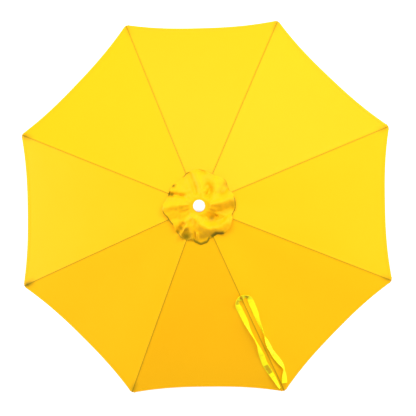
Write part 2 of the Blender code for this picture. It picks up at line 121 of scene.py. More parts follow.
class Nodes:
    """Short hand for building one material's node tree."""

    def __init__(self, name, color, roughness, metallic=0.0):
        self.material = bpy.data.materials.new(name)
        self.material.use_nodes = True
        self.tree = self.material.node_tree
        self.shader = self.tree.nodes["Principled BSDF"]
        self.shader.inputs["Base Color"].default_value = (*color, 1)
        self.shader.inputs["Roughness"].default_value = roughness
        self.shader.inputs["Metallic"].default_value = metallic
        self.coords = self.tree.nodes.new("ShaderNodeTexCoord").outputs["Object"]

    def add(self, kind, **inputs):
        """New node; an underscore in an input's name stands for a space."""
        node = self.tree.nodes.new(kind)
        for key, value in inputs.items():
            self.feed(node, key.replace("_", " "), value)
        return node

    def feed(self, node, key, value):
        """Links or sets the input of that name, or of that number."""
        socket = node.inputs[int(key)] if key.isdigit() else node.inputs[key]
        if isinstance(value, bpy.types.NodeSocket):
            self.tree.links.new(value, socket)
        else:
            socket.default_value = value

    def noise(self, scale, detail=2.0, vector=None):
        vector = vector or self.coords
        return self.add("ShaderNodeTexNoise", Scale=scale, Detail=detail, Vector=vector).outputs["Fac"]

    def attribute(self, name):
        node = self.tree.nodes.new("ShaderNodeAttribute")
        node.attribute_name = name
        return node

    def math(self, operation, one, two=0.0):
        node = self.tree.nodes.new("ShaderNodeMath")
        node.operation = operation
        self.feed(node, "0", one)
        self.feed(node, "1", two)
        return node.outputs[0]

    def ramp(self, value, low, high, out_low=0.0, out_high=1.0, interpolation="LINEAR"):
        node = self.tree.nodes.new("ShaderNodeMapRange")
        node.interpolation_type = interpolation
        self.feed(node, "Value", value)
        ends = {"From Min": low, "From Max": high, "To Min": out_low, "To Max": out_high}
        for key, number in ends.items():
            node.inputs[key].default_value = number
        return node.outputs[0]

    def mix(self, factor, one, two):
        node = self.tree.nodes.new("ShaderNodeMix")
        node.data_type = "RGBA"
        self.feed(node, "0", factor)
        for index, color in ((6, one), (7, two)):
            if isinstance(color, bpy.types.NodeSocket):
                self.tree.links.new(color, node.inputs[index])
            else:
                node.inputs[index].default_value = (*color, 1)
        return node.outputs[2]

    def wave(self, value, pitch):
        """Sine wave that repeats every pitch metres."""
        return self.math("SINE", self.math("MULTIPLY", value, 2 * math.pi / pitch))

    def line(self, value, at, inner, outer):
        """1 where the value is within inner of a place, and 0 beyond outer."""
        away = self.math("ABSOLUTE", self.math("SUBTRACT", value, at))
        return self.math("SUBTRACT", 1.0, self.ramp(away, inner, outer))

    def add_scaled(self, value, factor, rest):
        """value times factor, plus rest."""
        result = self.math("MULTIPLY_ADD", value, factor)
        self.feed(result.node, "2", rest)
        return result

    def finish(self, color=None, roughness=None, height=None, distance=0.001, strength=1.0):
        """Feeds the shader; distance is the bump's height in metres."""
        if color is not None:
            self.feed(self.shader, "Base Color", color)
        if roughness is not None:
            self.feed(self.shader, "Roughness", roughness)
        if height is not None:
            node = self.add("ShaderNodeBump", Height=height, Distance=distance, Strength=strength)
            self.feed(self.shader, "Normal", node.outputs["Normal"])
        return self.material


# colour the shade attribute mixes in: painted shade in the cap's creases and along its hem, darker rib
# tips and the tack's thread
SHADE_AND_THREAD = (0.13, 0.11, 0.0)


def canopy_material(name, color, shade, stitch):
    """Plain woven cloth with stitched seams and hem, darkened by the shade attribute: painted shade on
    the cap, darker rib tips, the tack's thread.
    """
    n = Nodes(name, color, 0.72)
    n.shader.inputs["Sheen Weight"].default_value = 0.02
    n.shader.inputs["Sheen Roughness"].default_value = 0.5
    n.shader.inputs["Specular IOR Level"].default_value = 0.12
    seam = n.attribute("seam").outputs["Fac"]
    hem = n.attribute("hem").outputs["Fac"]
    cloth = n.add("ShaderNodeSeparateXYZ", Vector=n.attribute("cloth").outputs["Vector"])
    along, across = cloth.outputs["X"], cloth.outputs["Y"]

    broad = n.noise(3.0, 3.0)
    fine = n.noise(420.0, 2.0)
    tone = n.add_scaled(fine, 0.25, n.math("MULTIPLY", broad, 0.55))
    color_mix = n.mix(n.ramp(tone, 0.25, 0.60, 0.0, 0.5), color, shade)

    gap = n.ramp(seam, 0.0010, 0.0030, 1.0, 0.0, "SMOOTHSTEP")
    color_mix = n.mix(n.math("MULTIPLY", gap, 0.60), color_mix, stitch)

    seam_thread = n.line(seam, SEAM_STITCH_AT, 0.0003, 0.0009)
    hem_thread = n.line(hem, HEM_STITCH_AT, 0.0003, 0.0010)
    seam_dash = n.math("GREATER_THAN", n.wave(along, STITCH_PITCH), -0.35)
    hem_dash = n.math("GREATER_THAN", n.wave(across, STITCH_PITCH), -0.35)
    stitches = n.math(
        "MAXIMUM", n.math("MULTIPLY", seam_thread, seam_dash), n.math("MULTIPLY", hem_thread, hem_dash),
    )
    color_mix = n.mix(n.math("MULTIPLY", stitches, 0.40), color_mix, stitch)
    # painted shade on the cap, darker rib tips and the tack's thread colour, as the shade attribute
    # says
    color_mix = n.mix(n.attribute("shade").outputs["Fac"], color_mix, SHADE_AND_THREAD)

    weave = n.math("MULTIPLY", n.wave(along, WEAVE_PITCH), n.wave(across, WEAVE_PITCH))
    height = n.math("ADD", n.math("MULTIPLY", weave, 0.30), n.math("MULTIPLY", stitches, 1.2))
    rough = n.ramp(fine, 0.3, 0.7, 0.46, 0.58)
    return n.finish(color_mix, rough, height, 0.00020, 0.6)


def webbing_material(name, color, shade):
    """Ribbed webbing, worn unevenly, and darker where the patch attribute says so: painted shade inside
    the strap's loops at the tack.
    """
    n = Nodes(name, color, 0.42)
    n.shader.inputs["Sheen Weight"].default_value = 0.03
    n.shader.inputs["Specular IOR Level"].default_value = 0.25
    cloth = n.add("ShaderNodeSeparateXYZ", Vector=n.attribute("cloth").outputs["Vector"])
    ribs = n.wave(cloth.outputs["Y"], WEBBING_RIB_PITCH)
    picks = n.wave(cloth.outputs["X"], WEBBING_PICK_PITCH)
    grain = n.math("MULTIPLY", ribs, picks)
    patch = n.attribute("patch").outputs["Fac"]
    # random wear, plus the patch attribute's painted shade inside the strap's loops at the tack
    worn = n.add_scaled(n.noise(60.0, 3.0), 0.5, n.math("MULTIPLY", patch, 0.9))
    color_mix = n.mix(n.ramp(worn, 0.28, 1.2), color, shade)
    return n.finish(color_mix, n.ramp(n.noise(90.0), 0.3, 0.7, 0.36, 0.50), grain, 0.00025, 0.5)


def paint_material(name, color, worn, roughness):
    """Powder-coated metal: faint orange peel, dulled and greyed a little along the edges."""
    n = Nodes(name, color, roughness)
    edge = n.ramp(n.tree.nodes.new("ShaderNodeNewGeometry").outputs["Pointiness"], 0.53, 0.62)
    rubbed = n.math("MULTIPLY", edge, n.ramp(n.noise(45.0, 4.0), 0.40, 0.62))
    coated = n.mix(n.ramp(n.noise(6.0, 3.0), 0.35, 0.7), color, worn)
    color_mix = n.mix(n.math("MULTIPLY", rubbed, 0.6), coated, worn)
    rough = n.ramp(n.noise(30.0, 3.0), 0.3, 0.7, roughness - 0.05, roughness + 0.10)
    return n.finish(color_mix, rough, n.noise(900.0, 1.0), 0.0003, 0.12)


def plastic_material(name, color, shade, roughness):
    """Moulded plastic with a fine grain and faint flow variation."""
    n = Nodes(name, color, roughness)
    n.shader.inputs["Coat Weight"].default_value = 0.15
    n.shader.inputs["Coat Roughness"].default_value = 0.2
    color_mix = n.mix(n.ramp(n.noise(14.0, 3.0), 0.35, 0.75), color, shade)
    rough = n.ramp(n.noise(70.0, 3.0), 0.3, 0.7, roughness - 0.06, roughness + 0.08)
    return n.finish(color_mix, rough, n.noise(1600.0, 2.0), 0.0003, 0.10)


def steel_material(name):
    """Bare steel with fine drawn lines along its length."""
    n = Nodes(name, (0.60, 0.60, 0.58), 0.30, 1.0)
    stretch = n.add("ShaderNodeMapping", Vector=n.coords, Scale=(20.0, 20.0, 400.0)).outputs["Vector"]
    lines = n.noise(6.0, 4.0, stretch)
    color_mix = n.mix(n.ramp(lines, 0.3, 0.7), (0.66, 0.66, 0.64), (0.48, 0.48, 0.46))
    return n.finish(color_mix, n.ramp(lines, 0.3, 0.7, 0.22, 0.40), lines, 0.0002, 0.25)


CANOPY_SHADE = (0.93, 0.450, 0.0)
STITCH = (0.11, 0.108, 0.0)
CANOPY = canopy_material("canopy_cloth", (0.95, 0.475, 0.001), CANOPY_SHADE, STITCH)
CAP_CLOTH = canopy_material("cap_cloth", (0.95, 0.480, 0.001), CANOPY_SHADE, STITCH)
WEBBING = webbing_material("lemon_webbing", (0.95, 0.88, 0.0), (0.56, 0.35, 0.0))
PAINT = paint_material("white_paint", (0.82, 0.82, 0.80), (0.72, 0.72, 0.69), 0.34)
PLASTIC = plastic_material("white_plastic", (0.88, 0.88, 0.86), (0.82, 0.82, 0.79), 0.32)
STEEL = steel_material("plain_steel")

SLOT_MATERIALS = {
    "white_paint": PAINT,
    "white_plastic": PLASTIC,
    "steel": STEEL,
    "yellow_canopy": CANOPY,
    "lemon_webbing": WEBBING,
}


def dress_cad_nodes():
    """Gives every node of the CAD the material of its slot."""
    slots = {row["node"]: row["material_slot"] for row in frame["record"]["subparts"]}
    for name, obj in frame["nodes"].items():
        material = SLOT_MATERIALS[slots[name]]
        if not obj.material_slots:
            obj.data.materials.append(material)
        for slot in obj.material_slots:
            slot.material = material


# ---------------------------------------------------------------- cloth meshes

def blank_attributes(*names):
    """Empty list of values for each of the attributes that the materials read."""
    return {name: [] for name in names}


def note(attributes, **values):
    """Adds one point's values to the attributes."""
    for name, value in values.items():
        attributes[name].append(value)


def shell_from(name, cloth, faces, thickness, material):
    """Closed thin shell over some faces of a cloth, keeping the whole cloth's own normals.

    cloth holds points, normals and attributes of every vertex of the full sheet.
    """
    used = sorted({v for face in faces for v in face})
    index = {v: i for i, v in enumerate(used)}
    count = len(used)
    points = [cloth["points"][v] for v in used]
    points += [cloth["points"][v] - cloth["normals"][v] * thickness for v in used]
    top = [[index[v] for v in face] for face in faces]
    bottom = [[i + count for i in reversed(face)] for face in top]
    sides = {}
    for face in top:
        for a, b in zip(face, face[1:] + face[:1]):
            if (b, a) in sides:
                del sides[(b, a)]
            else:
                sides[(a, b)] = True
    rim = [[b, a, a + count, b + count] for a, b in sides]
    mesh = bpy.data.meshes.new(name)
    mesh.from_pydata(points, [], top + bottom + rim)
    for key, values in cloth["attributes"].items():
        kind = "FLOAT_VECTOR" if isinstance(values[0], (tuple, Vector)) else "FLOAT"
        attribute = mesh.attributes.new(key, kind, "POINT")
        for i, v in enumerate(used):
            for j in (i, i + count):
                if kind == "FLOAT":
                    attribute.data[j].value = values[v]
                else:
                    attribute.data[j].vector = values[v]
    mesh.polygons.foreach_set("use_smooth", [True] * len(mesh.polygons))
    mesh.update()
    normals = []
    for polygon in mesh.polygons:
        for loop in polygon.loop_indices:
            vertex = mesh.loops[loop].vertex_index
            if polygon.index >= 2 * len(top):
                normals.append(polygon.normal)
            elif vertex < count:
                normals.append(cloth["normals"][used[vertex]])
            else:
                normals.append(-cloth["normals"][used[vertex - count]])
    mesh.normals_split_custom_set(normals)
    mesh.materials.append(material)
    obj = bpy.data.objects.new(name, mesh)
    SCENE.collection.objects.link(obj)
    return obj


def with_normals(points, faces, attributes):
    """Adds each vertex's area-weighted normal to a sheet."""
    normals = [Vector() for _ in points]
    for face in faces:
        for i in range(len(face)):
            a, b, c = (points[face[j % len(face)]] for j in (i - 1, i, i + 1))
            normal = (b - a).cross(c - b)
            for v in face:
                normals[v] += normal
    for normal in normals:
        normal.normalize()
    return {"points": points, "normals": normals, "attributes": attributes}


def facing(points, faces, attributes, up):
    """The sheet and its faces, turned over if they look the wrong way."""
    cloth = with_normals(points, faces, attributes)
    if (sum(normal.z for normal in cloth["normals"]) > 0) != up:
        faces = [face[::-1] for face in faces]
        cloth = with_normals(points, faces, attributes)
    return cloth, faces


def strip_faces(rows, columns):
    """Faces of a strip whose rows of columns + 1 points follow each other."""
    faces = []
    for i in range(rows):
        for j in range(columns):
            a = i * (columns + 1) + j
            b = a + columns + 1
            faces.append([a, b, b + 1, a + 1])
    return faces


def ring_faces(rings, steps):
    """Faces between closed rings of points, from the inside out."""
    faces = []
    for i in range(rings):
        for j in range(steps):
            k = (j + 1) % steps
            faces.append([i * steps + j, (i + 1) * steps + j, (i + 1) * steps + k, i * steps + k])
    return faces


# ---------------------------------------------------------------- main canopy

# the hem hollows between the ribs; TIP_ROUND is in shares of half a panel
HEM_HOLLOW = 0.032
HEM_POWER = 2.7
TIP_ROUND = 0.012
TIP_CUT = 0.0040
TIP_CUT_HALF = 0.0115

# darker patch at the tip of each rib
TIP_SHADES = (0.35, 0.25, 0.25, 0.60, 0.90, 0.45, 0.35, 0.40)
TIP_SHADE_IN = 0.018
TIP_SHADE_LENGTH = 0.026
TIP_SHADE_WIDTH = 0.014

# places of the rows and columns of points along the seams, the hem and the vent opening
SEAM_SIDES = (0.0, 0.0012, 0.0026, 0.0040, 0.0052, 0.0075, 0.0130, 0.0200, 0.0300)
HEM_STEPS = (0.0, 0.0010, 0.0080, 0.0135, 0.0150, 0.0165, 0.0180, 0.0200)
VENT_STEPS = (0.0, 0.0010, 0.0060, 0.0085, 0.0095, 0.0110)

# the vent opening's hem is this much narrower than the outer hem
VENT_HEM_LESS = 0.005

# raised seams and hems and the grooves their stitches pull in
SEAM_RAISE = 0.0009
SEAM_HALF = 0.0040
SEAM_EDGE = 0.0016
SEAM_GROOVE = 0.0005
SEAM_GROOVE_WIDTH = 0.0012
HEM_RAISE = 0.0007
HEM_WIDTH = 0.0165
HEM_EDGE = 0.0020
HEM_GROOVE = 0.0004
HEM_GROOVE_WIDTH = 0.0010

# puckers beside the seams: height, where they are, and their two pitches along the seam
PUCKER = 0.00035
PUCKER_AT = 0.011
PUCKER_WIDTH = 0.010
PUCKER_PITCHES = (0.021, 0.034)

# slack of the cloth: height, waves per metre, seed, and how far from the seam it is full
CLOTH_SLACK = ((0.0030, 2.6, 4.0, 0.10), (0.0007, 9.0, 8.0, 0.04))


def canopy_detail(k, s, side, hem, x, y):
    """Height above the plain panel: felled seam with its groove and pucker, turned hem, slack cloth."""
    distance = abs(side)
    raised = SEAM_RAISE * (1 - smooth((distance - SEAM_HALF) / SEAM_EDGE))
    raised -= SEAM_GROOVE * bump(distance, SEAM_GROOVE_WIDTH)
    pucker = math.sin(2 * math.pi * s / PUCKER_PITCHES[0] + 2.1 * k)
    pucker += 0.6 * math.sin(2 * math.pi * s / PUCKER_PITCHES[1] + k)
    raised += PUCKER * pucker * bump(distance - PUCKER_AT, PUCKER_WIDTH)
    raised += HEM_RAISE * (1 - smooth((hem - HEM_WIDTH) / HEM_EDGE))
    raised -= HEM_GROOVE * bump(hem - HEM_STITCH_AT, HEM_GROOVE_WIDTH)
    for height, waves, seed, full_at in CLOTH_SLACK:
        slack = height * noise.noise(Vector((x * waves, y * waves, seed)))
        raised += slack * smooth(distance / full_at)
    return raised


def panel_half_width(s):
    """Distance from a seam to the middle of its panel, at arc length s."""
    return rib_point(s, CLOTH_LIFT)[0] * math.cos(HALF) * math.sin(HALF)


def canopy_point(k, s, share, side):
    """Point of the canopy beside rib k, side metres from its seam and that share of half a panel."""
    radius, height = rib_point(s, CLOTH_LIFT)
    x = radius * (1 - share * math.sin(HALF) ** 2)
    spread = min(1.0, s / RIB_LENGTH)
    height -= PANEL_SAG * spread * math.sin(math.pi / 2 * share) ** 2
    turn = rib_angle(k)
    world_x = x * math.cos(turn) - side * math.sin(turn)
    world_y = x * math.sin(turn) + side * math.cos(turn)
    return Vector((world_x, world_y, height))


def hem_at(share, side):
    """Arc length of the hem, at a share of half a panel and at that distance from the seam."""
    rounded = math.hypot(share, TIP_ROUND) - TIP_ROUND
    hollow = HEM_HOLLOW * (1 - (1 - rounded) ** HEM_POWER)
    return RIB_LENGTH + HEM_OVERHANG - hollow - TIP_CUT * (1 - min(1.0, side / TIP_CUT_HALF))


def tip_shade(k, s, side):
    """Share of darkening near the tip of rib k."""
    from_middle = s - RIB_LENGTH + TIP_SHADE_IN
    return TIP_SHADES[k - 1] * bump(side, TIP_SHADE_WIDTH) * bump(from_middle, TIP_SHADE_LENGTH)


def build_canopy():
    """One sewn cloth, divided at the middle of each panel so that each part folds with its rib."""
    first = rib_s_at(VENT_OPENING_R)
    rows = 34
    columns = 12
    points, faces, owners = [], [], []
    keys = {}
    attributes = blank_attributes("seam", "hem", "cloth", "shade")

    def vertex(k, side_index, i):
        """Index of the point in row i, side_index columns from the seam of rib k."""
        sign = -1 if side_index < 0 else 1
        j = abs(side_index)
        share = None
        if j < len(SEAM_SIDES):
            inner = SEAM_SIDES[j]
        else:
            inner = SEAM_SIDES[-1]
            share = (j - len(SEAM_SIDES) + 1) / columns
        nominal, side = 0.0, inner
        for _ in range(2):
            hem_s = hem_at(nominal, side)
            if i < len(VENT_STEPS):
                s = first + VENT_STEPS[i]
            elif i < len(VENT_STEPS) + rows:
                t = (i - len(VENT_STEPS) + 1) / (rows + 1)
                low = first + VENT_STEPS[-1]
                s = low + (hem_s - HEM_STEPS[-1] - low) * t
            else:
                s = hem_s - HEM_STEPS[len(HEM_STEPS) - 1 - (i - len(VENT_STEPS) - rows)]
            width = panel_half_width(s)
            side = inner if share is None else inner + (width - inner) * share
            nominal = side / width
        mid = j == len(SEAM_SIDES) - 1 + columns
        if mid:
            owner = k if sign > 0 else (k - 2) % RIBS + 1
            key = ("mid", owner, i)
        else:
            key = (k, side_index, i)
        if key in keys:
            return keys[key]
        point = canopy_point(k, s, nominal, sign * side)
        edge = min(hem_s - s, s - first + VENT_HEM_LESS)
        point.z += canopy_detail(k, s, side, edge, point.x, point.y)
        keys[key] = len(points)
        points.append(point)
        note(attributes, seam=side, hem=edge, cloth=(s, sign * side, 0.0), shade=tip_shade(k, s, side))
        return keys[key]

    reach = len(SEAM_SIDES) - 1 + columns
    total_rows = len(VENT_STEPS) + rows + len(HEM_STEPS)
    for k in range(1, RIBS + 1):
        for j in range(-reach, reach):
            for i in range(total_rows - 1):
                corners = ((j, i), (j, i + 1), (j + 1, i + 1), (j + 1, i))
                faces.append([vertex(k, column, row) for column, row in corners])
                owners.append(k)
    cloth = with_normals(points, faces, attributes)
    for k in range(1, RIBS + 1):
        own = [face for face, owner in zip(faces, owners) if owner == k]
        gore = shell_from(f"canopy_cloth_{k}", cloth, own, CLOTH_THICK, CANOPY)
        fold_with_rib(gore, k)
        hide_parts(f"canopy_gore_{k}")


def fold_with_rib(obj, k):
    """The piece turns with its rib, on a mesh of its own."""
    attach(obj, f"rib_{k}")
    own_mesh(obj)


def above_cloth(k, radius, side, lift):
    """Point above the finished canopy beside rib k."""
    s = rib_s_at(radius + abs(side) * math.tan(HALF))
    point = canopy_point(k, s, abs(side) / panel_half_width(s), side)
    point.z += canopy_detail(k, s, side, HEM_AWAY, point.x, point.y) + lift
    return point


# ---------------------------------------------------------------- vent cap

# outline of the loose cap: angle in degrees and radius in metres
CAP_OUTLINE = (
    (-173, 0.182), (-160, 0.165), (-145, 0.159), (-130, 0.171), (-120, 0.177), (-112, 0.176),
    (-104, 0.164), (-97, 0.179), (-90, 0.187), (-81, 0.181), (-73, 0.164), (-60, 0.160), (-50, 0.177),
    (-37, 0.178), (-23, 0.170), (-15, 0.163), (-4, 0.172), (9, 0.174), (18, 0.172), (28, 0.162),
    (47, 0.176), (63, 0.166), (73, 0.169), (81, 0.172), (94, 0.179), (108, 0.172), (119, 0.162),
    (129, 0.156), (141, 0.166), (152, 0.162), (160, 0.162), (168, 0.166), (177, 0.178),
)

# folds of the loose cap: height, half width, and the line they follow, in metres from the pole
CAP_FOLDS = (
    (0.024, 0.022, ((0.036, -0.004), (0.100, 0.014), (0.168, 0.038))),
    (-0.026, 0.026, ((0.046, -0.060), (0.066, -0.060), (0.108, -0.044), (0.168, -0.018))),
    (0.020, 0.021, (
        (-0.026, -0.056), (0.006, -0.092), (0.044, -0.112), (0.096, -0.112), (0.132, -0.080),
        (0.146, -0.036),
    )),
    (-0.026, 0.028, ((-0.010, -0.172), (0.020, -0.176), (0.064, -0.160), (0.112, -0.148))),
    (-0.036, 0.017, ((-0.068, -0.128), (-0.070, -0.160))),
    (0.010, 0.006, ((-0.014, -0.134), (-0.012, -0.174))),
    (-0.008, 0.005, ((-0.024, -0.130), (-0.022, -0.158))),
    (-0.028, 0.012, ((-0.080, -0.092), (-0.112, -0.134))),
    (0.016, 0.009, ((-0.072, -0.102), (-0.094, -0.138), (-0.090, -0.156))),
    (0.014, 0.018, ((-0.172, -0.006), (-0.100, 0.005), (-0.036, 0.008))),
    (-0.010, 0.020, ((-0.135, -0.062), (-0.085, -0.050), (-0.045, -0.034))),
    (-0.018, 0.008, ((-0.160, 0.058), (-0.118, 0.055), (-0.070, 0.047))),
    (0.008, 0.014, ((-0.160, 0.078), (-0.110, 0.078), (-0.060, 0.064))),
    (-0.014, 0.008, ((-0.138, 0.106), (-0.108, 0.116))),
    (-0.012, 0.014, ((-0.046, 0.150), (-0.023, 0.098), (-0.010, 0.052))),
    (0.011, 0.016, ((-0.014, 0.156), (0.004, 0.104), (0.010, 0.050))),
    (-0.018, 0.015, ((0.040, 0.094), (0.050, 0.070), (0.030, 0.036))),
    (0.009, 0.016, ((0.076, 0.120), (0.080, 0.070), (0.062, 0.034))),
    (-0.022, 0.016, ((0.138, 0.108), (0.104, 0.060))),
    (-0.011, 0.010, ((-0.004, 0.172), (0.030, 0.160))),
)

# painted shadow along stretches of the cap's raised hem: from and to which angle in degrees, width in
# metres and strength
CAP_HEM_SHADOWS = (
    (-174, -145, 0.0046, 0.90), (-134, -104, 0.0060, 0.65), (-102, -73, 0.0115, 0.85),
    (-71, -48, 0.0150, 0.92), (-18, 14, 0.0042, 0.80), (25, 48, 0.0030, 0.60),
    (106, 119, 0.0044, 0.90), (81, 90, 0.0030, 0.35), (63, 73, 0.0030, 0.40), (153, 162, 0.0080, 0.90),
)

# painted shade in creases, hollows and pinches of the cap: place in metres from the pole, radius and
# strength
CAP_CREASE_SHADES = (
    (-0.151, 0.0585, 0.0110, 1.00), (-0.134, 0.056, 0.0100, 0.80), (-0.1255, 0.100, 0.0100, 0.90),
    (0.057, -0.060, 0.0150, 0.62), (0.070, -0.034, 0.0240, 0.20), (0.100, -0.022, 0.0240, 0.22),
    (0.130, -0.008, 0.0220, 0.22), (0.158, 0.008, 0.0220, 0.30),
    (-0.069, -0.146, 0.0270, 0.85), (-0.108, -0.125, 0.0130, 0.75), (-0.092, -0.106, 0.0110, 0.65),
    (-0.050, -0.160, 0.0140, 0.50),
    (0.018, -0.152, 0.0280, 0.20), (0.070, -0.132, 0.0260, 0.20),
    (-0.085, -0.012, 0.0110, 0.20), (-0.058, -0.009, 0.0100, 0.16), (-0.110, -0.016, 0.0100, 0.16),
    (-0.095, -0.060, 0.0130, 0.14), (0.133, 0.102, 0.0140, 0.55), (0.108, 0.062, 0.0160, 0.25),
)

# height of the cap's plain cone above the ribs, and how much more it stands off towards its hem
CAP_BASE_LIFT = 0.0165
CAP_BILLOW = 0.0050

# small creases of its cloth: height, waves per metre and seed
CAP_CREASES = ((0.0030, 30, 2.0), (0.0016, 75, 5.0))
CAP_RAYS = 19
CAP_RAY_HEIGHT = 0.0012

# radii from and over which the cap leaves its flat middle, its creases start and it billows
CAP_LEVEL_TO = (0.030, 0.022)
CAP_CREASES_FROM = (0.036, 0.030)
CAP_BILLOW_FROM = (0.06, 0.06)

# the cap's cloth nears the canopy softly from this height, and keeps this clear of it
CAP_SOFT = 0.0022
CAP_CLEARANCE = 0.0024
CAP_THICK = 0.0006

# how far it may hang into the vent opening, over a rib and between the ribs
CAP_DIP_OVER_RIB = 0.0012
CAP_DIP_BETWEEN = 0.024
CAP_DIP_FROM = (0.092, 0.016)
CAP_RIB_HALF = (0.007, 0.014)

# its hem is narrower than the canopy's by this factor
CAP_HEM_NARROWS = 1.4

# radii of the rings from the screw's hole outward, before the evenly spaced ones
CAP_INNER_RINGS = (0.0048, 0.015, 0.026, 0.040)

# degrees over which a stretch of painted shadow along the cap's hem fades in
CAP_HEM_SHADOW_BLEND = 6.0


def beyond(value, start_and_blend):
    """0 up to the start, 1 past the blend after it."""
    start, blend = start_and_blend
    return smooth((value - start) / blend)


def cap_hem_radius(angle):
    """Smooth periodic curve through the cap's outline."""
    table = [(a + turn, r) for turn in (-360, 0, 360) for a, r in CAP_OUTLINE]
    degrees = (math.degrees(angle) + 180) % 360 - 180
    for (a0, r0), (a1, r1) in zip(table, table[1:]):
        if a0 <= degrees < a1:
            return r0 + (r1 - r0) * smooth((degrees - a0) / (a1 - a0))
    return table[0][1]


def within(value, low, high, blend):
    """1 inside the range, 0 outside it, with a soft edge as wide as the blend."""
    return smooth((value - low) / blend + 0.5) * smooth((high - value) / blend + 0.5)


def cap_shade(x, y, from_hem):
    """Share of painted shade and shadow at a point of the cap."""
    degrees = math.degrees(math.atan2(y, x))
    shade = 0.0
    for low, high, width, strength in CAP_HEM_SHADOWS:
        along = within(degrees, low, high, CAP_HEM_SHADOW_BLEND)
        # painted shadow under the raised stretches of the hem
        shade = max(shade, strength * along * (1 - smooth(from_hem / width - 0.5)))
    for mark_x, mark_y, size, strength in CAP_CREASE_SHADES:
        # painted shade in the creases, hollows and pinches
        shade = max(shade, strength * bump(math.dist((x, y), (mark_x, mark_y)), size))
    return shade


def line_distance(x, y, line):
    """Distance to a bent line, and how far along it the nearest point is (0 to 1)."""
    best = (1e9, 0.0)
    lengths = [math.dist(a, b) for a, b in zip(line, line[1:])]
    total = sum(lengths)
    gone = 0.0
    for (a, b), length in zip(zip(line, line[1:]), lengths):
        t = ((x - a[0]) * (b[0] - a[0]) + (y - a[1]) * (b[1] - a[1])) / (length * length)
        t = max(0.0, min(1.0, t))
        d = math.dist((x, y), (a[0] + t * (b[0] - a[0]), a[1] + t * (b[1] - a[1])))
        if d < best[0]:
            best = (d, (gone + t * length) / total)
        gone += length
    return best


def cap_floor(x, y):
    """Lowest the cap may lie: just above the canopy, or between the ribs in the vent opening."""
    radius = math.hypot(x, y)
    turned = (math.atan2(y, x) - FIRST_RIB + HALF) % (2 * math.pi)
    k = 1 + int(turned // (2 * HALF))
    offset = turned % (2 * HALF) - HALF
    along, side = radius * math.cos(offset), radius * math.sin(offset)
    on_canopy = above_cloth(k, max(along, 0.03), side, CAP_CLEARANCE).z
    between = beyond(abs(side), CAP_RIB_HALF)
    opening = 1 - beyond(radius, CAP_DIP_FROM)
    return on_canopy - opening * (CAP_DIP_OVER_RIB + CAP_DIP_BETWEEN * between)


def cap_height(x, y):
    """Height of the cap's cloth: the cone over the ribs, its listed folds and small creases."""
    radius = math.hypot(x, y)
    angle = math.atan2(y, x)
    offset = abs((angle - FIRST_RIB + HALF) % (2 * HALF) - HALF)
    ridge = radius * math.cos(HALF - offset) / math.cos(HALF)
    free = beyond(radius, CAP_CREASES_FROM)
    base = rib_point(rib_s_at(max(ridge, 0.03)))[1] + CAP_BASE_LIFT
    base += CAP_BILLOW * beyond(radius, CAP_BILLOW_FROM)
    folds = 0.0
    for height, width, line in CAP_FOLDS:
        distance, t = line_distance(x, y, line)
        if distance < 3 * width:
            ends = 0.35 + 0.65 * math.sin(math.pi * min(1.0, 0.15 + 0.85 * t)) ** 0.5
            folds += height * bump(distance, width) * ends
    creases = 0.0
    for height, waves, seed in CAP_CREASES:
        creases += height * noise.noise(Vector((x * waves, y * waves, seed)))
    wander = 3 * noise.noise(Vector((x * 12, y * 12, 1.0)))
    rays = CAP_RAY_HEIGHT * math.sin(CAP_RAYS * angle + wander)
    lift = base + (folds + creases + rays * bump(radius - 0.07, 0.05)) * free
    floor = cap_floor(x, y)
    if lift < floor + CAP_SOFT:
        lift = floor + CAP_SOFT * math.exp((lift - floor - CAP_SOFT) / CAP_SOFT)
    level = CAP_LEVEL + CAP_THICK
    return level + (lift - level) * beyond(radius, CAP_LEVEL_TO)


def build_vent_cap():
    """Loose cloth cap under the finial, divided like the canopy so that it folds with the ribs."""
    rings = 44
    steps = RIBS * 28
    inner = CAP_INNER_RINGS[-1]
    first = len(CAP_INNER_RINGS)
    points = []
    attributes = blank_attributes("seam", "hem", "cloth", "shade")
    for i in range(first + rings):
        for j in range(steps):
            angle = 2 * math.pi * j / steps
            hem = cap_hem_radius(angle)
            if i < first:
                radius = CAP_INNER_RINGS[i]
            else:
                radius = inner + (hem - inner) * ((i - first + 1) / rings)
            x, y = radius * math.cos(angle), radius * math.sin(angle)
            points.append(Vector((x, y, cap_height(x, y))))
            note(
                attributes, seam=SEAM_AWAY, hem=(hem - radius) * CAP_HEM_NARROWS, cloth=(x, y, 0.0),
                shade=cap_shade(x, y, hem - radius),
            )
    faces = ring_faces(first + rings - 1, steps)
    owners = []
    for index in range(len(faces)):
        middle = 2 * math.pi * (index % steps + 0.5) / steps
        rib = 1 + int(((middle - FIRST_RIB + HALF) % (2 * math.pi)) // (2 * HALF))
        owners.append(0 if index // steps < first - 1 else rib)
    cloth = with_normals(points, faces, attributes)
    for owner in range(RIBS + 1):
        own = [face for face, o in zip(faces, owners) if o == owner]
        name = f"vent_cap_cloth_{owner}" if owner else "vent_cap_centre"
        piece = shell_from(name, cloth, own, CAP_THICK, CAP_CLOTH)
        if owner:
            fold_with_rib(piece, owner)
        else:
            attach(piece, "upper_pole")
            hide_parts("vent_cap")


# ---------------------------------------------------------------- tie strap

STRAP_WIDTH = 0.028
STRAP_THICK = 0.0012
STRAP_CLEARANCE = 0.0022
STRAP_CURL = 0.0012
STRAP_PATCH_HALF = 0.0115

# how far a rolled strap stands up off the cloth, as a share of its full height
STRAP_STAND = 0.55

TACK_AT = 0.484
TACK_RADIUS = 0.0075
TACK_THICK = 0.0010
TACK_RISE = 0.0125
TACK_DOME = 0.0028
TACK_SHADE = 0.60

